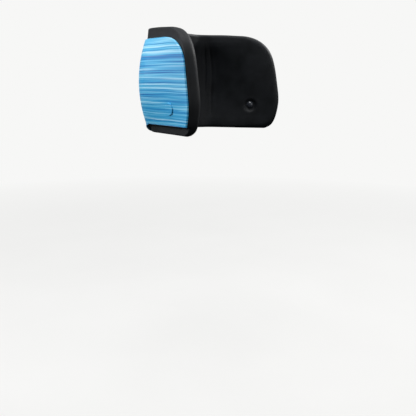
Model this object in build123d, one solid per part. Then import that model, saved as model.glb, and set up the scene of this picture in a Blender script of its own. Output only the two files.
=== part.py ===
from build123d import *

import os
from math import acos, asin, atan2, cos, radians, sin, sqrt

# Chair headrest attachment: a winged shell lined with foam, tilting on a block that is
# clamped to the chair's vertical post.
#
# Millimetres, +Z up, the user sits towards -Y. The origin is on the post's axis, halfway
# up the clamp block. "Pad" heights are measured from the middle of the headrest, and
# "depth" is measured outwards from the liner's outer face (the shell lies at depth > 0).

# ---------------------------------------------------------------- driving dimensions
# Headrest
post_radius = 6.0
pad_y = -39.5              # the liner's outer face at the back, in front of the post
pad_z = 44.0               # the middle of the headrest, above the block's middle
liner_top = 86.3
liner_bottom = -87.0
liner_thickness = 21.0
shell_top = 68.6
shell_bottom = -72.3
shell_thickness = 3.2
seat_gap = 0.3             # between the liner and the shell
back_half_width = 45.0     # flat part of the back, to where each corner begins
corner_radius = 51.0       # at the liner's outer face
wing_flare = radians(20.8) # each wing opens outwards
wing_reach = 128.0         # blank length of a wing before its front edge is trimmed
bowl_depth = 15.2          # how far the back and the corners swell out, at their fullest
bowl_middle = -5.0         # the pad height where they are fullest
bowl_radius = 215.0        # of the swelling, seen from the side
tongue_bottom = -91.0      # the shell's rear tongue hangs this low
hinge_z = 19.0             # tilt axis, above the block's middle

# Front edges of one wing: distance along the wing from the corner, and pad height
liner_front = [(-20, 86.3), (0, 86), (22, 85.2), (42, 83.8), (61, 82), (81, 75), (101, 56.5),
               (112, 28), (118.5, -8), (121.5, -36), (118.5, -57), (114, -71.5),
               (107, -81.5), (96, -87)]
shell_front = [(0, 68.6), (35, 68), (60, 66.8), (75, 63.5), (91, 55.5), (105.5, 39), (112, 15),
               (116.5, -15), (119, -37), (118, -55), (113.5, -72.3)]
# The lower edge of the shell's tongue, from its side to its bottom: X and pad height
tongue_outline = [(92, -71), (80, -78), (60, -87.5), (46, -91)]

# Clearances
running_gap = 0.05         # radial, of a shaft in its hole
fit_gap = 0.1              # radial, of a barrel in a drilled hole
face_gap = 0.05            # between faces that are screwed together
thread_gap = 0.2           # beyond the end of a thread in its hole
washer_slack = 0.2         # radial, of a washer on its shaft
merge = 0.1                # overlap of two lumps that make up one piece
over = 2.0                 # how far a cut starts before a face and runs past it

# Wing fasteners: a domed screw inside, a barrel nut through both layers, a cap outside
fastener_along = 68.5
fastener_height = -44.5
screw_sink = 3.0           # the screw's head pulls the foam in by this much
dimple_radius = 12.5
dimple_floor = 7.6
dome_radius = 6.5
dome_height = 3.5
slot_width, slot_length, slot_depth = 1.2, 7.2, 1.2
wing_thread_radius = 2.45
wing_thread_end = -1.0     # depths where the screw's shank and its barrel's bore end
barrel_radius = 4.0
barrel_bore_radius = 2.5
barrel_low, barrel_bore_end = -9.0, 2.5
barrel_flange_radius = 7.0
barrel_flange = 0.8
cap_radius = 10.0
cap_height = 1.8
cap_edge = 0.9

# Tilt yoke, its four screws and their tee nuts inside the shell
yoke_half_width = 36.0
yoke_half_height = 32.0
yoke_corner = 9.0
yoke_thickness = 3.0
yoke_gap = 0.15
yoke_pitch_x = 58.0
yoke_pitch_z = 44.0
yoke_hole_radius = 2.8
yoke_thread_radius = 2.5
yoke_thread_past = 2.2     # how far the screws reach past the shell's inner face
washer_bore, washer_radius, washer_thickness = 2.7, 5.0, 1.0
button_radius, button_height, button_edge = 4.75, 2.8, 1.6
hex_radius = 1.7
tee_flange_radius, tee_flange = 8.5, 1.5
tee_gap = 0.3              # from the shell's inner face to the tee nut's flange
tee_barrel_radius, tee_bore_radius = 3.8, 2.55
tee_hole_radius = 4.0
tee_pocket_radius, tee_pocket = 9.5, 2.4

# Yoke ears, bushes and the tilt pivot
ear_inner = 16.1
ear_thickness = 4.0
ear_radius = 11.0
ear_root_y, ear_root_half_height, ear_root_radius = -26.0, 14.0, 4.0
bush_radius = 7.0
bush_flange_radius = 9.0
bush_flange = 1.0
trunnion_radius = 5.0
thread_radius = 4.0
thread_start = 9.0         # where the pivot threads begin, from the post's axis
friction_radius = 12.5
bolt_head_radius, bolt_head_height, bolt_head_edge = 8.5, 5.0, 1.2
bolt_hex_radius, bolt_hex_depth = 3.4, 3.0

# Clamp block, its sleeve and inserts
block_half_width = 15.0
block_radius = 13.5
block_half_height = 34.0
block_edge = 4.0
boss_length = 5.0          # the clamp screw's boss on the block's side
boss_radius = 8.0
sleeve_wall = 1.5
sleeve_flange = 1.5
sleeve_flange_radius = 10.0
pivot_insert_radius, pivot_insert_start = 6.0, 8.5
clamp_insert_radius, clamp_insert_start = 4.75, 12.0

# Clamp screw and knobs
clamp_z = -24.0            # the clamp screw, below the block's middle
clamp_thread_radius = 3.0
clamp_stud_start = 9.4
pad_radius = 4.0
pad_gap = 0.15             # between the pressure pad and the post
pad_edge = 0.4
knob_lobes = 5
knob_thickness = 10.0
knob_edge = 1.6
knob_cover = 3.0           # what covers the stud's end
tilt_knob_radius, tilt_hub = 16.0, 15.0
clamp_knob_radius, clamp_hub = 13.0, 4.0
clamp_knob_clear = 2.0     # between the boss and the clamp knob, when clamped
tilt_washer_radius = 10.0

# ---------------------------------------------------------------- worked out
shell_inner = seat_gap
shell_outer = seat_gap + shell_thickness
yoke_inner = shell_outer + yoke_gap
yoke_outer = yoke_inner + yoke_thickness
hinge_pad_z = hinge_z - pad_z
nut_face = shell_inner - yoke_outer    # the shell's inner face, seen from the yoke's rear face
ear_outer = ear_inner + ear_thickness
bush_face = ear_outer + bush_flange
bore_radius = post_radius + running_gap
sleeve_radius = bore_radius + sleeve_wall
boss_face = block_half_width + boss_length
tilt_seat = bush_face + washer_thickness + 5 * face_gap
clamp_seat = boss_face + clamp_knob_clear
beyond = 100.0             # reaches past everything, for cutting
wing_sides = (-1, 1)


# ---------------------------------------------------------------- the headrest's surface
def bowl(height):
    """How far the back is swelled out at a pad height: a circular arc down the shell."""
    reach = max(shell_bottom, min(height, shell_top)) - bowl_middle
    return bowl_depth - bowl_radius + sqrt(bowl_radius ** 2 - reach ** 2)


def side_points(depth, dish):
    """Right half of a plan line: where the corner starts, its middle and end, and the tip.

    The corner swells about its own centre, the tip stays, and the wing is the straight
    line from the tip that touches the corner.
    """
    centre = Vector(back_half_width, pad_y - corner_radius)
    radius = corner_radius + depth + dish
    out = Vector(cos(wing_flare), sin(wing_flare))
    forward = Vector(sin(wing_flare), -cos(wing_flare))
    tip = centre + out * (corner_radius + depth) + forward * wing_reach
    to_tip = tip - centre
    end_turn = atan2(to_tip.Y, to_tip.X) + acos(radius / to_tip.length)
    half_turn = (radians(90) + end_turn) / 2
    start = centre + Vector(0, radius)
    middle = centre + Vector(cos(half_turn), sin(half_turn)) * radius
    end = centre + Vector(cos(end_turn), sin(end_turn)) * radius
    return start, middle, end, tip


def wing_point(along, height, depth):
    """A point on the right wing's surface, by distance from the corner and pad height."""
    start, middle, end, tip = side_points(depth, bowl(height))
    spot = tip + (end - tip) * (1 - along / wing_reach)
    return Vector(spot.X, spot.Y, pad_z + height)


def mirrored(point):
    return Vector(-point.X, point.Y, point.Z)


def band_section(inner, outer, height, dish):
    """Plan section of a band that follows the back, both corners and both wings."""
    a, b, c, d = side_points(outer, dish)
    e, f, g, h = side_points(inner, dish)
    outside = [Line(mirrored(d), mirrored(c)), ThreePointArc(mirrored(c), mirrored(b), mirrored(a)),
               Line(mirrored(a), a), ThreePointArc(a, b, c), Line(c, d)]
    inside = [Line(h, g), ThreePointArc(g, f, e), Line(e, mirrored(e)),
              ThreePointArc(mirrored(e), mirrored(f), mirrored(g)), Line(mirrored(g), mirrored(h))]
    tips = [Line(d, h), Line(mirrored(h), mirrored(d))]
    outline = Wire([path.edge() for path in outside + tips[:1] + inside + tips[1:]])
    return Pos(0, 0, pad_z + height) * Face(outline)


def dished_band(inner, outer):
    """The band between the shell's edges, where the back is swelled."""
    steps = 8
    pitch = (shell_top - shell_bottom) / steps
    heights = [shell_bottom + pitch * i for i in range(steps + 1)]
    return loft([band_section(inner, outer, height, bowl(height)) for height in heights])


def straight_band(inner, outer, low, high):
    """The band beyond one of the shell's edges, straight up and down."""
    section = band_section(inner, outer, low, bowl((low + high) / 2))
    return extrude(section, high - low, dir=(0, 0, 1))


def wing_plane(side, along, height):
    """A plane on a wing: local Z points squarely out of it, local X runs towards its tip."""
    spot = wing_point(along, height, 0)
    forward = wing_point(along + 1, height, 0) - spot
    upward = wing_point(along, height + 1, 0) - spot
    out = upward.cross(forward)
    return Plane(
        origin=(side * spot.X, spot.Y, spot.Z),
        x_dir=(side * forward.X, forward.Y, forward.Z),
        z_dir=(side * out.X, out.Y, out.Z),
    )


def beyond_front(side, front):
    """What lies in front of a wing's front edge, to be cut away."""
    spot = wing_point(0, shell_top, 0)
    plane = Plane(
        origin=(side * spot.X, spot.Y, pad_z),
        x_dir=(side * sin(wing_flare), -cos(wing_flare), 0),
        z_dir=(side * cos(wing_flare), sin(wing_flare), 0),
    )
    # The plane's local Y axis points down on one side and up on the other.
    up = 1 if plane.y_dir.Z > 0 else -1
    points = [(along, up * height) for along, height in front]
    far, high = wing_reach + beyond, 1.5 * beyond
    edge = Spline(*points)
    corners = [edge @ 1, (points[-1][0], -up * high), (far, -up * high), (far, up * high),
               (points[0][0], up * high), edge @ 0]
    outline = Wire([edge.edge(), *Polyline(*corners).edges()])
    return extrude(plane * Face(outline), 0.3 * beyond, both=True)


def behind_back(depth, half_width, low, high):
    """Everything behind the swelled back from a given depth, between two pad heights."""
    heights = [low, (low + high) / 2, high]
    near = [(pad_y + depth + bowl(height), pad_z + height) for height in heights]
    arc = ThreePointArc(*near)
    rest = Polyline(near[2], (beyond, near[2][1]), (beyond, near[0][1]), near[0])
    outline = Wire([arc.edge(), *rest.edges()])
    return extrude(Plane.YZ * Face(outline), half_width, both=True)


def back_band(inner, outer, half_width, low, high):
    """A sheet that follows the swelled back, between two depths."""
    return behind_back(inner, half_width, low, high) - behind_back(outer, half_width + 1, low, high)


def yoke_plane(x, height):
    """A plane on the yoke's rear face: local Z points backwards, square to the swelled back."""
    slope = asin((height - bowl_middle) / bowl_radius)
    return Plane(
        origin=(x, pad_y + yoke_outer + bowl(height), pad_z + height),
        x_dir=(1, 0, 0),
        z_dir=(0, cos(slope), sin(slope)),
    )


# ---------------------------------------------------------------- turned shapes
def rod(plane, radius, low, high):
    """A cylinder along a plane's normal, from low to high above the plane."""
    upright = Cylinder(radius, high - low, align=(Align.CENTER, Align.CENTER, Align.MIN))
    return plane * Pos(0, 0, low) * upright


def tube(plane, inner, outer, low, high):
    return rod(plane, outer, low, high) - rod(plane, inner, low - over, high + over)


def rounded_rod(radius, low, high, edge):
    """An upright cylinder whose top edge is rounded."""
    plain = rod(Plane.XY, radius, low, high)
    return fillet(plain.edges().sort_by(Axis.Z)[-1], edge)


def socket(radius, low):
    """A hexagon to cut into a screw's head, from low upwards."""
    return Pos(0, 0, low) * extrude(RegularPolygon(radius, 6), beyond)


def along_x(side, z):
    """A plane at the post's axis whose local Z points sideways."""
    return Plane(origin=(0, 0, z), x_dir=(0, side, 0), z_dir=(side, 0, 0))


fastener_planes = [wing_plane(side, fastener_along, fastener_height) for side in wing_sides]
yoke_planes = [yoke_plane(x, hinge_pad_z + z) for x in (-yoke_pitch_x / 2, yoke_pitch_x / 2)
               for z in (-yoke_pitch_z / 2, yoke_pitch_z / 2)]
tilt_plane = along_x(1, hinge_z)
clamp_plane = along_x(1, clamp_z)


# ---------------------------------------------------------------- shell and liner
def make_shell():
    band = dished_band(shell_inner, shell_outer)
    for side in wing_sides:
        band -= beyond_front(side, shell_front)
    left = [(-x, z) for x, z in tongue_outline]
    outline = Polyline(*[(x, pad_z + z) for x, z in tongue_outline + left[::-1]], close=True)
    curtain = extrude(Plane.XZ * Face(outline.wire()), beyond, both=True)
    tongue = straight_band(shell_inner, shell_outer, tongue_bottom - 1, shell_bottom) & curtain
    shell = band + tongue
    for plane in fastener_planes:
        shell -= rod(plane, barrel_radius + fit_gap, shell_inner - over, shell_outer + over)
    for plane in yoke_planes:
        shell -= rod(plane, tee_hole_radius, nut_face - over, over)
    return shell


def make_liner():
    inner = -liner_thickness
    liner = dished_band(inner, 0)
    liner += straight_band(inner, 0, shell_top, liner_top)
    liner += straight_band(inner, 0, liner_bottom, shell_bottom)
    for side in wing_sides:
        liner -= beyond_front(side, liner_front)
    for plane in fastener_planes:
        liner -= rod(plane, barrel_radius + fit_gap, inner - over, over)
        dimple = Cone(dimple_radius, dimple_floor, screw_sink, align=(Align.CENTER, Align.CENTER, Align.MIN))
        liner -= plane * Pos(0, 0, inner) * dimple
    for plane in yoke_planes:
        liner -= rod(plane, tee_pocket_radius, nut_face - tee_pocket, 0)
    return liner


# ---------------------------------------------------------------- wing fasteners
def make_wing_screw(plane):
    seat = -liner_thickness + screw_sink
    top = seat - dome_height
    sphere = (dome_radius ** 2 + dome_height ** 2) / (2 * dome_height)
    ball = Pos(0, 0, top + sphere) * Sphere(sphere)
    below = Pos(0, 0, seat) * Box(beyond, beyond, beyond, align=(Align.CENTER, Align.CENTER, Align.MAX))
    slot = Pos(0, 0, top) * Box(slot_width, slot_length, 2 * slot_depth)
    return plane * ((ball & below) - slot) + rod(plane, wing_thread_radius, seat - merge, wing_thread_end)


def make_wing_barrel(plane):
    flange_low = shell_outer + face_gap
    barrel = rod(plane, barrel_radius, barrel_low, flange_low + face_gap)
    barrel += rod(plane, barrel_flange_radius, flange_low, flange_low + barrel_flange)
    return barrel - rod(plane, barrel_bore_radius, barrel_low - over, barrel_bore_end)


def make_wing_cap(plane):
    base = shell_outer + 2 * face_gap
    cap = rounded_rod(cap_radius, base, base + cap_height, cap_edge)
    cap -= rod(Plane.XY, barrel_flange_radius + fit_gap, base - over, base + barrel_flange + face_gap)
    return plane * cap


# ---------------------------------------------------------------- tilt yoke
def make_yoke():
    low, high = hinge_pad_z - yoke_half_height, hinge_pad_z + yoke_half_height
    plate = back_band(yoke_inner, yoke_outer, yoke_half_width, low, high)
    blank = Pos(0, 0, hinge_z) * Box(2 * yoke_half_width, 2 * beyond, high - low)
    yoke = plate & fillet(blank.edges().filter_by(Axis.Y), yoke_corner)
    outline = make_hull([
        Circle(ear_radius).edge(),
        (Pos(ear_root_y, -ear_root_half_height) * Circle(ear_root_radius)).edge(),
        (Pos(ear_root_y, ear_root_half_height) * Circle(ear_root_radius)).edge(),
    ])
    trim = behind_back(yoke_inner + 1, yoke_half_width, low, high)
    for side in wing_sides:
        plane = Plane(origin=(side * ear_inner, 0, hinge_z), x_dir=(0, 1, 0), z_dir=(1, 0, 0))
        yoke += extrude(plane * outline, side * ear_thickness) & trim
        yoke -= rod(along_x(side, hinge_z), bush_radius, ear_inner - over, ear_outer + over)
    for plane in yoke_planes:
        yoke -= rod(plane, yoke_hole_radius, -yoke_thickness - over, over)
    return yoke


def make_yoke_screw(plane):
    low = 2 * face_gap + washer_thickness
    head = rounded_rod(button_radius, low, low + button_height, button_edge)
    head -= socket(hex_radius, low + button_height / 2)
    return plane * head + rod(plane, yoke_thread_radius, nut_face - yoke_thread_past, low + merge)


def make_yoke_washer(plane):
    return tube(plane, washer_bore, washer_radius, face_gap, face_gap + washer_thickness)


def make_tee_nut(plane):
    top = nut_face - tee_gap
    flange = rod(plane, tee_flange_radius, top - tee_flange, top)
    barrel = rod(plane, tee_barrel_radius, top - merge, -yoke_thickness - 2 * thread_gap)
    return flange + barrel - rod(plane, tee_bore_radius, top - tee_flange - over, 0)


def make_ear_bush(side):
    plane = along_x(side, hinge_z)
    bore = trunnion_radius + running_gap
    bush = tube(plane, bore, bush_radius, ear_inner, ear_outer)
    return bush + tube(plane, bore, bush_flange_radius, ear_outer, bush_face)


# ---------------------------------------------------------------- clamp block
def make_clamp_block():
    tall = Pos(0, 0, (hinge_z - block_half_height) / 2)
    block = tall * Box(2 * block_half_width, 2 * block_radius, hinge_z + block_half_height)
    block = fillet(block.edges().filter_by(Axis.Z), block_edge)
    block = chamfer(block.faces().sort_by(Axis.Z)[0].edges(), block_edge / 4)
    block += Pos(0, 0, hinge_z) * Rot(0, 90, 0) * Cylinder(block_radius, 2 * block_half_width)
    block -= Cylinder(sleeve_radius + running_gap, 2 * beyond)
    for side in wing_sides:
        hole = along_x(side, hinge_z)
        block -= rod(hole, pivot_insert_radius, pivot_insert_start - over, block_half_width + over)
    block += rod(clamp_plane, boss_radius, block_half_width - over, boss_face)
    block -= rod(clamp_plane, pad_radius, post_radius, clamp_insert_start)
    block -= rod(clamp_plane, clamp_insert_radius, clamp_insert_start, boss_face + over)
    return block


def make_post_sleeve():
    sleeve = tube(Plane.XY, bore_radius, sleeve_radius, -block_half_height, block_half_height)
    flange_low = -block_half_height - sleeve_flange
    sleeve += tube(Plane.XY, bore_radius, sleeve_flange_radius, flange_low, -block_half_height)
    return sleeve - rod(clamp_plane, pad_radius, post_radius - over, sleeve_radius + over)


def make_inserts():
    bore = thread_radius + running_gap
    pivots = [tube(along_x(side, hinge_z), bore, pivot_insert_radius, pivot_insert_start, block_half_width)
              for side in wing_sides]
    clamp = tube(clamp_plane, clamp_thread_radius + running_gap, clamp_insert_radius,
                 clamp_insert_start, boss_face)
    return pivots + [clamp]


# ---------------------------------------------------------------- tilt pivot
def make_friction_washer(side):
    plane = along_x(side, hinge_z)
    bore = trunnion_radius + washer_slack
    return tube(plane, bore, friction_radius, block_half_width + face_gap, ear_inner - fit_gap)


def make_trunnion(plane, end):
    """The plain bearing length that an ear turns on, and its thread in the block."""
    bearing = rod(plane, trunnion_radius, block_half_width + fit_gap, end)
    return bearing + rod(plane, thread_radius, thread_start, block_half_width + fit_gap + merge)


def make_pivot_bolt():
    plane = along_x(-1, hinge_z)
    seat = bush_face + 3 * face_gap
    head = rounded_rod(bolt_head_radius, seat, seat + bolt_head_height, bolt_head_edge)
    head -= socket(bolt_hex_radius, seat + bolt_head_height - bolt_hex_depth)
    return plane * head + make_trunnion(plane, seat + merge)


def make_tilt_stud():
    end = tilt_seat + tilt_hub + knob_thickness - knob_cover - thread_gap
    return make_trunnion(tilt_plane, tilt_seat) + rod(tilt_plane, thread_radius, tilt_seat - merge, end)


def make_tilt_washer():
    high = tilt_seat - face_gap
    return tube(tilt_plane, trunnion_radius + washer_slack, tilt_washer_radius, high - washer_thickness, high)


# ---------------------------------------------------------------- clamp screw and knobs
def make_clamp_stud():
    end = clamp_seat + clamp_hub + knob_thickness - knob_cover - thread_gap
    return rod(clamp_plane, clamp_thread_radius, clamp_stud_start, end)


def make_pressure_pad():
    pad = rod(Plane.XY, pad_radius - running_gap, post_radius + pad_gap, clamp_stud_start - face_gap)
    pad = chamfer(pad.edges().sort_by(Axis.Z)[0], pad_edge)
    return clamp_plane * pad


def make_knob(plane, radius, seat, hub, thread):
    """A lobed knob at the end of a hub, along a plane's normal."""
    lobe = 0.26 * radius
    grip = Circle(radius - 0.8 * lobe)
    for spot in PolarLocations(radius - lobe, knob_lobes):
        grip += spot * Circle(lobe)
    body = Pos(0, 0, seat + hub) * extrude(grip, knob_thickness)
    body = fillet(body.edges().group_by(Axis.Z)[-1], knob_edge)
    neck = rod(Plane.XY, 2 * lobe, seat, seat + hub + over)
    bore = rod(Plane.XY, thread, seat - over, seat + hub + knob_thickness - knob_cover)
    return plane * (body + neck - bore)


parts = {
    "shell": make_shell(),
    "foam_liner": make_liner(),
    "wing_screws": [make_wing_screw(plane) for plane in fastener_planes],
    "wing_barrels": [make_wing_barrel(plane) for plane in fastener_planes],
    "wing_caps": [make_wing_cap(plane) for plane in fastener_planes],
    "tilt_yoke": make_yoke(),
    "yoke_screws": [make_yoke_screw(plane) for plane in yoke_planes],
    "yoke_washers": [make_yoke_washer(plane) for plane in yoke_planes],
    "tee_nuts": [make_tee_nut(plane) for plane in yoke_planes],
    "ear_bushes": [make_ear_bush(side) for side in wing_sides],
    "clamp_block": make_clamp_block(),
    "post_sleeve": make_post_sleeve(),
    "threaded_inserts": make_inserts(),
    "friction_washers": [make_friction_washer(side) for side in wing_sides],
    "pivot_bolt": make_pivot_bolt(),
    "tilt_knob": make_knob(tilt_plane, tilt_knob_radius, tilt_seat, tilt_hub, thread_radius),
    "tilt_stud": make_tilt_stud(),
    "tilt_washer": make_tilt_washer(),
    "clamp_knob": make_knob(clamp_plane, clamp_knob_radius, clamp_seat, clamp_hub, clamp_thread_radius),
    "clamp_stud": make_clamp_stud(),
    "pressure_pad": make_pressure_pad(),
}

os.makedirs("parts", exist_ok=True)
for name, shape in parts.items():
    solids = shape if isinstance(shape, list) else [shape]
    export_step(Compound([solid for item in solids for solid in item.solids()]), f"parts/{name}.step")
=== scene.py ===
from math import cos, pi, radians, sin, sqrt

import bpy
import numpy as np
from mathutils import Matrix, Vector


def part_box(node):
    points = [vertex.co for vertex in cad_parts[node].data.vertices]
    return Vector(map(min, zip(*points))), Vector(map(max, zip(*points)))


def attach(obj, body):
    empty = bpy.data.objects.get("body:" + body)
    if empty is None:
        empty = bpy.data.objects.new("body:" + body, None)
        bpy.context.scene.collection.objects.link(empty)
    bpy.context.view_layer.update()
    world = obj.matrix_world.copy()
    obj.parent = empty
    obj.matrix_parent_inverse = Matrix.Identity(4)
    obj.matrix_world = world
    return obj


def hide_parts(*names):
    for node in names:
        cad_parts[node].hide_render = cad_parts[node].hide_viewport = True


# A winged headrest for a child's supportive chair: a streaked blue shell lined with black
# foam, on a tilting clamp. Shapes are worked out in millimetres, as in the CAD model, and
# to_mesh() turns them into metres.

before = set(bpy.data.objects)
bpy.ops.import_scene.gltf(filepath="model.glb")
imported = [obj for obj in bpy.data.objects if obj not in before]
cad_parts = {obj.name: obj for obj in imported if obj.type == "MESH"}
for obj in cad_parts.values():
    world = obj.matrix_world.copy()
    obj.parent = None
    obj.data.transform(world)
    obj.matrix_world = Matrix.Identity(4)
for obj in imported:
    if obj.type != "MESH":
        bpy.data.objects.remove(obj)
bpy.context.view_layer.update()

MM = 0.001

# The headrest's own sizes, which repeat the CAD model's driving dimensions.
liner_top, liner_bottom = 86.3, -87.0
liner_thickness = 21.0
shell_top, shell_bottom = 68.6, -72.3
shell_inner, shell_outer = 0.3, 3.5
back_half_width = 45.0
corner_radius = 51.0
wing_flare = radians(20.8)
wing_reach = 128.0
bowl_depth, bowl_middle, bowl_radius = 15.2, -5.0, 215.0
fastener_along, fastener_height = 68.5, -44.5
screw_sink = 3.0

# The pad's place, from the frame: its middle height, and the liner's outer face at the back.
pad_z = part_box("foam_liner")[1].z / MM - liner_top
pad_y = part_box("shell")[1].y / MM - shell_outer - bowl_depth

# Worked out
corner_length = corner_radius * (pi / 2 - wing_flare)
wing_start = back_half_width + corner_length

# Front edges of a wing: distance along the wing from the corner, and pad height.
liner_front = [(-20, 86.3), (0, 86), (22, 85.2), (42, 83.8), (61, 82), (81, 75), (101, 56.5),
               (112, 28), (118.5, -8), (121.5, -36), (118.5, -57), (114, -71.5),
               (107, -81.5), (96, -87)]
shell_front = [(0, 68.6), (35, 68), (60, 66.8), (75, 63.5), (91, 55.5), (105.5, 39), (112, 15),
               (116.5, -15), (119, -37), (118, -55), (113.5, -72.3)]
tongue_edge = [(99.5, -72.3), (81, -78), (60, -87.5), (44, -91)]


# ---------------------------------------------------------------- the headrest's surface

def bowl(height):
    """How far the back is swelled out at a pad height: a circular arc down the shell."""
    reach = np.clip(height, shell_bottom, shell_top) - bowl_middle
    return bowl_depth - bowl_radius + np.sqrt(bowl_radius ** 2 - reach ** 2)


def soft_bowl(height, softness=5.0, lean=0.11):
    """The same swelling in foam, which turns over the shell's edges and leans in beyond them."""
    soft = bowl(height) - lean * np.maximum(np.maximum(height - shell_top, shell_bottom - height), 0)
    for edge in (shell_top, shell_bottom):
        reach = abs(edge - bowl_middle)
        slope = reach / sqrt(bowl_radius ** 2 - reach ** 2)
        near = np.clip(1 - np.abs(height - edge) / softness, 0, 1)
        soft = soft + slope * softness * near ** 2 / 4
    return soft


def surface(path, height, depth, dish):
    """Points in millimetres: a distance along the plan line, a pad height and a depth.

    The plan line is straight at the back, round at the corners and straight at the wings.
    A dished corner swells about its own centre, and the wing stays tangent to it.
    """
    side, away = np.sign(path), np.abs(path)
    radius = corner_radius + depth + dish
    out = np.array((cos(wing_flare), sin(wing_flare)))
    forward = np.array((sin(wing_flare), -cos(wing_flare)))
    tip_x = out[0] * (corner_radius + depth) + forward[0] * wing_reach
    tip_y = out[1] * (corner_radius + depth) + forward[1] * wing_reach
    end_turn = np.arctan2(tip_y, tip_x) + np.arccos(radius / np.hypot(tip_x, tip_y))
    share = np.clip((away - back_half_width) / corner_length, 0, 1)
    turn = pi / 2 + (end_turn - pi / 2) * share
    x = np.minimum(away, back_half_width) + radius * np.cos(turn)
    y = radius * np.sin(turn)
    along = np.maximum(away - wing_start, 0) / wing_reach
    x = x + (back_half_width + tip_x - x) * along
    y = y + (tip_y - y) * along
    return np.stack([side * x, pad_y - corner_radius + y, pad_z + height], axis=-1)


def smooth_curve(points, count=400):
    """Evenly spaced points on a natural cubic spline through the given ones."""
    points = np.array(points, float)
    steps = np.linalg.norm(np.diff(points, axis=0), axis=1)
    knots = np.concatenate([[0], np.cumsum(steps)])
    n = len(points)
    system, rhs = np.eye(n), np.zeros((n, 2))
    slopes = np.diff(points, axis=0) / steps[:, None]
    for i in range(1, n - 1):
        system[i, i - 1:i + 2] = steps[i - 1], 2 * (steps[i - 1] + steps[i]), steps[i]
        rhs[i] = 6 * (slopes[i] - slopes[i - 1])
    bend = np.linalg.solve(system, rhs)
    oversampling = 4
    at = np.linspace(0, knots[-1], oversampling * count)
    i = np.clip(np.searchsorted(knots, at, side="right") - 1, 0, n - 2)
    step, t = steps[i][:, None], (at - knots[i])[:, None]
    curve = (points[i] + t * (slopes[i] - step * (2 * bend[i] + bend[i + 1]) / 6)
             + t ** 2 * bend[i] / 2 + t ** 3 * (bend[i + 1] - bend[i]) / (6 * step))
    return resample(curve, np.linspace(0, 1, count))


def resample(curve, shares):
    """Points at the given shares of a curve's length."""
    curve = np.array(curve, float)
    run = np.concatenate([[0], np.cumsum(np.linalg.norm(np.diff(curve, axis=0), axis=1))])
    return np.stack([np.interp(np.array(shares) * run[-1], run, curve[:, k]) for k in (0, 1)], axis=-1)


def rounded(points, passes=3):
    """A polyline with its corners cut, over and over, so that they turn smoothly."""
    points = np.array(points, float)
    for _ in range(passes):
        ahead, behind = points[:-1] * 0.75 + points[1:] * 0.25, points[:-1] * 0.25 + points[1:] * 0.75
        between = np.stack([ahead, behind], axis=1).reshape(-1, 2)
        points = np.concatenate([points[:1], between[1:-1], points[-1:]])
    return points


def shares(length, edge, pitch):
    """Grid lines as shares of a length: crowded within the edge's rounding, even between."""
    crowd = [edge * (1 - cos(turn)) for turn in np.radians(np.arange(0, 90, 15))]
    middle = np.linspace(edge, length - edge, max(2, round((length - 2 * edge) / pitch)))
    return np.concatenate([crowd, middle, length - np.array(crowd[::-1])]) / length


def patch(bottom, top, front, edge, pitch):
    """A grid of (path, height) that fills an outline made of a bottom, a top and two fronts.

    Bottom and top run from left to right. Front is the right-hand one, from the bottom up.
    """
    left_front = front * (-1, 1)
    across = shares(bottom[-1, 0] - bottom[0, 0], edge, pitch)
    upward = shares(top[0, 1] - bottom[0, 1], edge, pitch)
    low, high = resample(bottom, across)[:, None], resample(top, across)[:, None]
    left, right = resample(left_front, upward)[None], resample(front, upward)[None]
    u, v = across[:, None, None], upward[None, :, None]
    corners = ((1 - u) * (1 - v) * low[0, 0] + u * (1 - v) * low[-1, 0]
               + (1 - u) * v * high[0, 0] + u * v * high[-1, 0])
    return (1 - v) * low + v * high + (1 - u) * left + u * right - corners


def edge_distance(grid):
    """How far each point of a grid lies from the grid's own outline."""
    rim = np.concatenate([grid[:-1, 0], grid[-1, :-1], grid[:0:-1, -1], grid[0, :0:-1]])
    start, step = rim, np.roll(rim, -1, axis=0) - rim
    flat = grid.reshape(-1, 2)
    best = np.full(len(flat), np.inf)
    for a, b in zip(start, step):
        t = np.clip((flat - a) @ b / max(b @ b, 1e-12), 0, 1)
        best = np.minimum(best, np.linalg.norm(flat - a - t[:, None] * b, axis=1))
    return best.reshape(grid.shape[:2])


def ease(share):
    """A share from 0 to 1, slow to start and slow to finish."""
    return share * share * (3 - 2 * share)


def rounding(distance, radius):
    """How far a rounded edge falls away from a face, at a distance in from the edge."""
    into = radius - np.minimum(distance, radius)
    return radius - np.sqrt(radius ** 2 - into ** 2)


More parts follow.
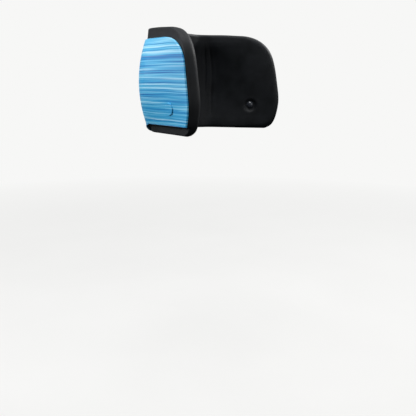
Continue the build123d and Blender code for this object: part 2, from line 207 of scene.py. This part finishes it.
def band(name, grid, inner, outer, dish, wall_rows, bulge=0.0, lead=0.0):
    """A closed mesh between an inner and an outer depth over a grid of (path, height).

    The inner face reaches further along the wings by its lead. The wall round the edge
    bulges outwards a little, halfway between the two faces.
    """
    path, height = grid[..., 0], grid[..., 1]
    swell = dish(height)
    lead = np.sign(path) * lead
    faces_in = surface(path + lead, height, inner, swell).reshape(-1, 3)
    faces_out = surface(path, height, outer, swell).reshape(-1, 3)
    columns, rows = grid.shape[:2]
    index = np.arange(columns * rows).reshape(columns, rows)
    rim = np.concatenate([index[:-1, 0], index[-1, :-1], index[:0:-1, -1], index[0, :0:-1]])
    edge = grid.reshape(-1, 2)[rim]
    ahead = np.roll(edge, -1, axis=0) - np.roll(edge, 1, axis=0)
    outward = np.stack([ahead[:, 1], -ahead[:, 0]], axis=-1) / np.linalg.norm(ahead, axis=1)[:, None]
    points, loops = [faces_in, faces_out], [rim]
    for k in range(1, wall_rows):
        share = k / wall_rows
        depth = inner.reshape(-1)[rim] * (1 - share) + outer.reshape(-1)[rim] * share
        spot = edge + outward * bulge * sin(pi * share)
        spot[:, 0] += lead.reshape(-1)[rim] * (1 - share)
        loops.append(sum(len(p) for p in points) + np.arange(len(rim)))
        points.append(surface(spot[:, 0], spot[:, 1], depth, dish(spot[:, 1])))
    loops.append(rim + columns * rows)
    a, b, c, d = index[:-1, :-1], index[1:, :-1], index[1:, 1:], index[:-1, 1:]
    quads = np.stack([a, b, c, d], axis=-1).reshape(-1, 4)
    polygons = [quads, quads[:, ::-1] + columns * rows]
    for lower, upper in zip(loops, loops[1:]):
        polygons.append(np.stack([lower, upper, np.roll(upper, -1), np.roll(lower, -1)], axis=-1))
    return to_mesh(name, np.concatenate(points), np.concatenate(polygons).tolist())


def to_mesh(name, points, polygons):
    """A smooth-shaded object from points in millimetres."""
    mesh = bpy.data.meshes.new(name)
    mesh.from_pydata((np.array(points) * MM).tolist(), [], polygons)
    mesh.validate()
    mesh.shade_smooth()
    piece = bpy.data.objects.new(name, mesh)
    bpy.context.scene.collection.objects.link(piece)
    return piece


def mirrored_join(half):
    """A left-to-right curve from its right half, which starts at the middle."""
    half = np.array(half, float)
    return np.concatenate([(half * (-1, 1))[::-1], half])


# ---------------------------------------------------------------- foam liner

def liner_grid():
    """The liner's outline, split into fronts, top and bottom where it runs at 45 degrees."""
    front = smooth_curve([(wing_start + along, height) for along, height in liner_front])
    step = np.gradient(front, axis=0)
    upper = int(np.argmax(-step[:, 1] > step[:, 0]))
    lower = upper + int(np.argmax(step[upper:, 0] < step[upper:, 1]))
    top = mirrored_join(np.concatenate([[(0, liner_top)], front[:upper + 1]]))
    bottom = mirrored_join(np.concatenate([[(0, liner_bottom)], front[lower:][::-1]]))
    return patch(bottom, top, front[upper:lower + 1][::-1], edge=8.5, pitch=1.5)


def crease(path, height, at, width, depth, low, high):
    """A fold in the foam: a groove with a swollen lip on both sides, faded out at its ends."""
    wander, wander_rate, fade, lip = 0.8, 0.07, 25, 1.1
    across = (np.abs(path) - at - wander * np.sin(wander_rate * height)) / width
    ends = np.clip((height - low) / fade, 0, 1) * np.clip((high - height) / fade, 0, 1)
    return depth * (1 - lip * across ** 2) * np.exp(-across ** 2) * ease(ends)


def make_liner():
    """Moulded foam: full rims towards the sitter, a soft dimple round each screw, and folds
    where it bends inwards at each corner."""
    rim_rounding, front_rounding, outer_rounding = 4.5, 9.0, 1.6
    front_low, front_high, front_lead = 50, 100, 3.4    # along the wing, and its inner face's lead
    cut_back, cut_above, cut_fade = 4.5, 1.0, 2.5
    edge_bulge = 0.7
    dimple_flat, dimple_reach = 7.4, 13.5
    # Distance along the plan line, width, depth and the heights where the fold ends
    folds = [(80, 2.6, 1.6, -25, 74), (69, 3.2, 0.6, -60, 60), (93, 3.4, 0.8, -70, 75)]
    grid = liner_grid()
    path, height = grid[..., 0], grid[..., 1]
    distance = edge_distance(grid)
    from_screw = np.hypot(np.abs(path) - wing_start - fastener_along, height - fastener_height)
    fall = np.clip((dimple_reach - from_screw) / (dimple_reach - dimple_flat), 0, 1)
    # The rim is rounded more at the wings' fronts than along the top and bottom.
    forward = ease(np.clip((np.abs(path) - wing_start - front_low) / (front_high - front_low), 0, 1))
    inner_rounding = rim_rounding + (front_rounding - rim_rounding) * forward
    inner = -liner_thickness + rounding(distance, inner_rounding)
    inner = inner + screw_sink * ease(fall)
    for at, width, depth, low, high in folds:
        inner = inner + crease(path, height, at, width, depth, low, high)
    # Below the shell and its tongue, the outer face is cut back.
    shell_edge = np.interp(np.abs(path), *zip(*tongue_edge[::-1]))
    below = np.clip((shell_edge + cut_above - height) / cut_fade, 0, 1)
    outer = -rounding(distance, outer_rounding) - cut_back * below
    liner = band("foam_cushion", grid, inner, outer, soft_bowl, wall_rows=8, bulge=edge_bulge,
                 lead=front_lead * forward)
    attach(liner, "head")
    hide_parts("foam_liner")
    return liner


# ---------------------------------------------------------------- shell

def shell_grid():
    """The shell's outline. Its bottom edge drops to a tongue at the back."""
    front = smooth_curve([(wing_start + along, height) for along, height in shell_front])
    lower_edge = rounded([(0, tongue_edge[-1][1]), *tongue_edge[::-1],
                          (wing_start, shell_bottom), tuple(front[-1])])
    top = mirrored_join([(0, shell_top), tuple(front[0])])
    bottom = mirrored_join(lower_edge)
    return patch(bottom, top, front[::-1], edge=1.0, pitch=1.7)


def make_shell():
    """A moulded shell with a softly rounded rim."""
    rim_rounding = 1.0
    grid = shell_grid()
    distance = edge_distance(grid)
    inner = shell_inner + rounding(distance, rim_rounding)
    outer = shell_outer - rounding(distance, rim_rounding)
    shell = band("outer_shell", grid, inner, outer, bowl, wall_rows=2)
    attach(shell, "head")
    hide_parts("shell")
    return shell


# ---------------------------------------------------------------- knobs

def make_knob(name, node, stud, body, radius, neck):
    """A moulded star knob along X: a blind bore, a neck, a scalloped grip and a sunk cap on top."""
    grip, bore, blind = 10.0, 3.2, 3.0
    scallops, hollow = 5, 0.2 * radius
    foot_edge, flare_in, flare_down = 1.0, 1.0, 2.0
    under_in, under_up, top_in, top_down = 2.0, 1.5, 2.0, 3.0
    ledge, groove, floor, cap = np.array((0.62, 0.52, 0.44, 0.40)) * radius
    groove_depth, cap_sink = 1.0, 0.2
    full_lobe = 0.8 * radius
    low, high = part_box(node)
    seat, top = low.x / MM, high.x / MM
    middle = (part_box(stud)[0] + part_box(stud)[1]) / 2 / MM
    under = top - grip
    profile = rounded([
        (0, top - blind), (bore, top - blind), (bore, seat), (neck - foot_edge, seat),
        (neck, seat + foot_edge), (neck, under - flare_down), (neck + flare_in, under),
        (radius - under_in, under), (radius, under + under_up),
        (radius, top - top_down), (radius - top_in, top), (ledge, top),
        (groove, top - groove_depth), (floor, top - groove_depth), (cap, top - cap_sink), (0, top),
    ])
    rings = profile[1:-1]
    turns = np.radians(np.arange(0, 360, 3))
    lobed = np.clip((rings[:, :1] - neck) / (full_lobe - neck), 0, 1)
    reach = rings[:, :1] - hollow * lobed * (0.5 - 0.5 * np.cos(scallops * turns))
    along = np.broadcast_to(rings[:, 1:], reach.shape)
    lobes = np.stack([along, middle.y + reach * np.cos(turns), middle.z + reach * np.sin(turns)], axis=-1)
    ends = [(profile[k, 1], middle.y, middle.z) for k in (0, -1)]
    index = np.arange(reach.size).reshape(reach.shape)
    ahead = np.roll(index, -1, axis=1)
    quads = np.stack([index[:-1], ahead[:-1], ahead[1:], index[1:]], axis=-1).reshape(-1, 4).tolist()
    first, last = index.size, index.size + 1
    fans = [(first, after, at) for at, after in zip(index[0].tolist(), ahead[0].tolist())]
    fans += [(last, at, after) for at, after in zip(index[-1].tolist(), ahead[-1].tolist())]
    knob = to_mesh(name, np.concatenate([lobes.reshape(-1, 3), ends]), quads + fans)
    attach(knob, body)
    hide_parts(node)
    return knob


# ---------------------------------------------------------------- materials

class Paint:
    """A material being built. add() makes a node and sets its inputs, to a value or a socket."""

    def __init__(self, name, **settings):
        self.material = bpy.data.materials.new(name)
        self.material.use_nodes = True
        self.tree = self.material.node_tree
        self.shader = self.tree.nodes["Principled BSDF"]
        self.place = self.add("ShaderNodeTexCoord").outputs["Object"]
        self.set(**settings)

    def set(self, **settings):
        for key, value in settings.items():
            self.put(self.shader, key.replace("_", " ").title().replace("Ior", "IOR"), value)

    def put(self, node, key, value):
        if isinstance(value, bpy.types.NodeSocket):
            self.tree.links.new(value, node.inputs[key])
        else:
            node.inputs[key].default_value = value

    def add(self, kind, inputs=None, **settings):
        node = self.tree.nodes.new(kind)
        for key, value in settings.items():
            setattr(node, key, value)
        for key, value in (inputs or {}).items():
            self.put(node, key, value)
        return node

    def stretched(self, scale, shift=(0, 0, 0), place=None):
        """The object's own coordinates in metres, or a given place, times a scale for each axis."""
        inputs = {0: place or self.place, "Location": shift, "Scale": scale}
        return self.add("ShaderNodeMapping", inputs).outputs[0]

    def noise(self, scale, detail=4.0, roughness=0.5, at=None):
        inputs = {"Vector": at or self.place, "Scale": scale, "Detail": detail, "Roughness": roughness}
        return self.add("ShaderNodeTexNoise", inputs).outputs["Fac"]

    def spread(self, value, low, high, new_low=0.0, new_high=1.0):
        """A value stretched from one range to another, and held there."""
        inputs = {"Value": value, "From Min": low, "From Max": high, "To Min": new_low, "To Max": new_high}
        return self.add("ShaderNodeMapRange", inputs).outputs[0]

    def sum(self, a, b, kind="ADD"):
        return self.add("ShaderNodeMath", {0: a, 1: b}, operation=kind).outputs[0]

    def mix(self, share, a, b):
        node = self.add("ShaderNodeMix", data_type="RGBA")
        for key, value in ((0, share), (6, a), (7, b)):
            self.put(node, key, value)
        return node.outputs[2]

    def ramp(self, value, stops):
        """Colours by a value: stops holds (position, colour) pairs."""
        node = self.add("ShaderNodeValToRGB", {0: value})
        steps = node.color_ramp.elements
        while len(steps) < len(stops):
            steps.new(0.5)
        for step, (position, colour) in zip(steps, stops):
            step.position, step.color = position, colour
        return node.outputs[0]

    def bump(self, height, distance, strength=1.0, over=None):
        inputs = {"Height": height, "Distance": distance, "Strength": strength}
        if over is not None:
            inputs["Normal"] = over
        return self.add("ShaderNodeBump", inputs).outputs[0]


def colour(red, green, blue):
    """A colour given in display values, 0 to 255, along the sRGB curve."""
    linear = [((c / 255 + 0.055) / 1.055) ** 2.4 if c > 10 else c / 255 / 12.92 for c in (red, green, blue)]
    return (*linear, 1.0)


def streaked_plastic():
    """Printed blue plastic: fine, long, nearly level streaks round the shell, thin pale ones between."""
    paint = Paint("streaked_plastic", roughness=0.42, specular_ior_level=0.35)
    paint.set(coat_weight=0.15, coat_roughness=0.3)
    waver = paint.noise(9.0, detail=1.0)
    lift = paint.add("ShaderNodeCombineXYZ", {"Z": paint.sum(waver, 0.007, "MULTIPLY")}).outputs[0]
    wavering = paint.add("ShaderNodeVectorMath", {0: paint.place, 1: lift}, operation="ADD").outputs[0]

    def streaks(along, across, shift):
        at = paint.stretched((along, along, across), shift, wavering)
        return paint.noise(1.0, detail=1.5, at=at)

    broad = streaks(3.0, 350.0, (0.0, 0.0, 3.7))
    fine = streaks(6.0, 800.0, (5.1, 2.3, 0.9))
    both = paint.sum(paint.sum(broad, 0.52, "MULTIPLY"), paint.sum(fine, 0.48, "MULTIPLY"))
    stops = [(0.37, colour(0, 104, 176)), (0.43, colour(0, 128, 194)), (0.49, colour(44, 160, 212)),
             (0.55, colour(100, 188, 228)), (0.62, colour(160, 216, 242))]
    blue = paint.ramp(both, stops)
    thin = paint.spread(streaks(4.0, 330.0, (8.0, 1.0, 4.0)), 0.60, 0.72, 0.0, 0.5)
    paint.set(base_color=paint.mix(thin, blue, colour(186, 222, 240)))
    paint.set(normal=paint.bump(fine, 0.00006, 0.4))
    return paint.material


def foam_skin():
    """Black moulded foam with a fine open skin."""
    paint = Paint("foam_skin", roughness=0.6, specular_ior_level=0.22)
    pores = paint.noise(1600.0, detail=3.0, roughness=0.6)
    clouds = paint.noise(38.0, detail=3.0)
    grey = paint.sum(paint.sum(pores, 0.4, "MULTIPLY"), paint.sum(clouds, 0.6, "MULTIPLY"))
    paint.set(base_color=paint.ramp(grey, [(0.38, colour(12, 15, 18)), (0.62, colour(25, 28, 32))]))
    paint.set(roughness=paint.spread(clouds, 0.3, 0.7, 0.54, 0.68))
    paint.set(normal=paint.bump(pores, 0.00018, 0.55, over=paint.bump(clouds, 0.0012, 0.25)))
    return paint.material


def glossy_black():
    """Polished black plastic, for the screws' domes."""
    paint = Paint("glossy_black", roughness=0.26, coat_weight=0.25, coat_roughness=0.2)
    wear = paint.noise(420.0, detail=3.0)
    paint.set(base_color=paint.ramp(wear, [(0.35, colour(34, 37, 44)), (0.70, colour(56, 60, 70))]))
    paint.set(roughness=paint.spread(wear, 0.3, 0.7, 0.22, 0.34))
    paint.set(normal=paint.bump(wear, 0.00005, 0.3))
    return paint.material


def moulded_black():
    """Hard black plastic with a fine spark-eroded grain."""
    paint = Paint("moulded_black", roughness=0.38)
    grain = paint.noise(2400.0, detail=2.0)
    wear = paint.noise(70.0, detail=4.0)
    paint.set(base_color=paint.ramp(wear, [(0.35, colour(24, 24, 26)), (0.70, colour(40, 40, 43))]))
    paint.set(roughness=paint.spread(wear, 0.3, 0.7, 0.32, 0.46))
    paint.set(normal=paint.bump(grain, 0.0001, 0.4))
    return paint.material


def powder_coat():
    """Dark powder-coated steel with its orange-peel skin."""
    paint = Paint("powder_coat", roughness=0.45, metallic=0.0)
    peel = paint.noise(900.0, detail=2.0)
    speck = paint.noise(3000.0, detail=1.0)
    paint.set(base_color=paint.ramp(speck, [(0.40, colour(52, 54, 58)), (0.68, colour(82, 85, 90))]))
    paint.set(roughness=paint.spread(peel, 0.3, 0.7, 0.40, 0.55))
    paint.set(normal=paint.bump(peel, 0.00012, 0.5))
    return paint.material


def zinc_plate():
    """Turned, zinc-plated steel."""
    paint = Paint("zinc_plate", roughness=0.3, metallic=1.0)
    turning = paint.noise(1.0, detail=3.0, at=paint.stretched((5200.0, 700.0, 700.0)))
    haze = paint.noise(180.0, detail=4.0)
    paint.set(base_color=paint.ramp(haze, [(0.30, colour(158, 160, 164)), (0.70, colour(204, 206, 208))]))
    paint.set(roughness=paint.spread(haze, 0.3, 0.7, 0.22, 0.40))
    paint.set(normal=paint.bump(turning, 0.00004, 0.5))
    return paint.material


def cast_alloy():
    """Bead-blasted aluminium casting."""
    paint = Paint("cast_alloy", roughness=0.48, metallic=0.75)
    blast = paint.noise(1500.0, detail=3.0)
    haze = paint.noise(60.0, detail=4.0)
    paint.set(base_color=paint.ramp(haze, [(0.30, colour(150, 152, 156)), (0.70, colour(184, 186, 190))]))
    paint.set(roughness=paint.spread(haze, 0.3, 0.7, 0.42, 0.58))
    paint.set(normal=paint.bump(blast, 0.0001, 0.5))
    return paint.material


def pale_nylon():
    """Natural nylon, a little translucent."""
    paint = Paint("pale_nylon", roughness=0.42, subsurface_weight=0.1)
    grain = paint.noise(900.0, detail=2.0)
    haze = paint.noise(50.0, detail=3.0)
    paint.set(base_color=paint.ramp(haze, [(0.35, colour(222, 220, 210)), (0.65, colour(236, 235, 228))]))
    paint.set(normal=paint.bump(grain, 0.00006, 0.4))
    return paint.material


def plain_brass():
    """Turned brass, dulled in patches."""
    paint = Paint("plain_brass", roughness=0.3, metallic=1.0)
    haze = paint.noise(140.0, detail=4.0)
    paint.set(base_color=paint.ramp(haze, [(0.30, colour(176, 140, 70)), (0.70, colour(212, 178, 104))]))
    paint.set(roughness=paint.spread(haze, 0.3, 0.7, 0.25, 0.42))
    paint.set(normal=paint.bump(paint.noise(1200.0), 0.00004, 0.4))
    return paint.material


def dress(piece, material):
    """Puts one material on every slot of a piece."""
    if not piece.material_slots:
        piece.data.materials.append(material)
    for slot in piece.material_slots:
        slot.material = material


# ---------------------------------------------------------------- studio

def make_camera():
    """Left of the sitter and in front, level with the headrest, looking down at the chair."""
    from_pad = Vector((-0.8048, -0.6717, -0.0100))
    looks_down, turned_right = radians(12.49), radians(53.71)
    data = bpy.data.cameras.new("camera")
    data.lens, data.sensor_width = 47.3, 36.0
    camera = bpy.data.objects.new("camera", data)
    camera.location = Vector((0, pad_y, pad_z)) * MM + from_pad
    camera.rotation_euler = (pi / 2 - looks_down, 0, -turned_right)
    bpy.context.scene.collection.objects.link(camera)
    bpy.context.scene.camera = camera


def area_light(name, place, target, size, power):
    """A round soft light, aimed at its target."""
    data = bpy.data.lights.new(name, "AREA")
    data.shape, data.size, data.energy = "DISK", size, power
    light = bpy.data.objects.new(name, data)
    light.location = place
    light.rotation_euler = (Vector(target) - Vector(place)).to_track_quat("-Z", "Y").to_euler()
    bpy.context.scene.collection.objects.link(light)


def make_surround(white):
    """The camera sees white; the object is lit by a dimmer dome, dark below, so that black foam
    keeps its shading."""
    overhead, underfoot = 0.5, 0.04
    dome_low, dome_high = -0.4, 0.7
    world = bpy.data.worlds.new("surround")
    world.use_nodes = True
    nodes, links = world.node_tree.nodes, world.node_tree.links
    background = nodes["Background"]
    background.inputs["Color"].default_value = white
    upward = nodes.new("ShaderNodeSeparateXYZ")
    links.new(nodes.new("ShaderNodeTexCoord").outputs["Generated"], upward.inputs[0])
    dome, strength = nodes.new("ShaderNodeMapRange"), nodes.new("ShaderNodeMapRange")
    for key, value in (("From Min", dome_low), ("From Max", dome_high),
                       ("To Min", underfoot), ("To Max", overhead)):
        dome.inputs[key].default_value = value
    links.new(upward.outputs["Z"], dome.inputs["Value"])
    links.new(dome.outputs[0], strength.inputs["To Min"])
    links.new(nodes.new("ShaderNodeLightPath").outputs["Is Camera Ray"], strength.inputs["Value"])
    links.new(strength.outputs[0], background.inputs["Strength"])
    bpy.context.scene.world = world


def make_floor(white):
    """A pale floor at the height of the chair's feet, which fades into the surround.

    It throws no light up onto the object.
    """
    floor_below_pad, reach = 0.565, 6.0
    fade_start, fade_end, glow_here = 0.5, 2.4, 0.66
    bpy.ops.mesh.primitive_circle_add(vertices=96, radius=reach, fill_type="NGON",
                                      location=(0, 0, pad_z * MM - floor_below_pad))
    floor = bpy.context.object
    floor.name = "floor"
    floor.visible_diffuse = floor.visible_glossy = False
    paint = Paint("pale_floor", roughness=0.6, specular_ior_level=0.2)
    tone = paint.noise(3.0, detail=3.0)
    paint.set(base_color=paint.ramp(tone, [(0.3, colour(194, 194, 193)), (0.7, colour(201, 201, 200))]))
    away = paint.add("ShaderNodeVectorMath", {0: paint.place}, operation="LENGTH").outputs["Value"]
    far = paint.spread(away, fade_start, fade_end, glow_here, 1.0)
    blend = paint.add("ShaderNodeMixShader", {0: far, 1: paint.shader.outputs[0]})
    glow = paint.add("ShaderNodeEmission", {"Color": white, "Strength": 1.0})
    paint.put(blend, 2, glow.outputs[0])
    paint.tree.links.new(blend.outputs[0], paint.tree.nodes["Material Output"].inputs["Surface"])
    dress(floor, paint.material)


def make_studio():
    """A white surround, a pale floor and four soft lights: one in front on the right, one
    overhead, one behind on the left and a faint one straight in front."""
    bpy.context.scene.view_settings.view_transform = "Standard"
    white = colour(247, 247, 246)
    make_surround(white)
    make_floor(white)
    middle = (0, pad_y * MM, pad_z * MM)
    area_light("key", (1.3, -0.7, 1.1), middle, 0.5, 30)
    area_light("overhead", (-0.3, -0.1, 1.4), middle, 0.8, 16)
    area_light("behind", (-1.3, 1.1, 0.6), middle, 1.2, 26)
    area_light("fill", (-0.2, -1.7, 0.3), middle, 1.2, 5)


liner = make_liner()
shell = make_shell()
dress(liner, foam_skin())
shell_print = streaked_plastic()
dress(shell, shell_print)
dress(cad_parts["wing_caps"], shell_print)

finishes = [
    (glossy_black(), ["wing_screws"]),
    (powder_coat(), ["tilt_yoke"]),
    (zinc_plate(), ["yoke_screws", "yoke_washers", "tee_nuts", "wing_barrels", "pivot_bolt",
                    "tilt_stud", "clamp_stud"]),
    (cast_alloy(), ["clamp_block"]),
    (pale_nylon(), ["ear_bushes", "friction_washers", "tilt_washer", "post_sleeve", "pressure_pad"]),
    (plain_brass(), ["threaded_inserts"]),
]
for material, names in finishes:
    for name in names:
        dress(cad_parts[name], material)

grip_plastic = moulded_black()
tilt_grip = make_knob("tilt_grip", "tilt_knob", "tilt_stud", "tilt_lock", radius=16.0, neck=8.3)
clamp_grip = make_knob("clamp_grip", "clamp_knob", "clamp_stud", "clamp_lock", radius=13.0, neck=6.8)
for knob in (tilt_grip, clamp_grip):
    dress(knob, grip_plastic)

make_camera()
make_studio()
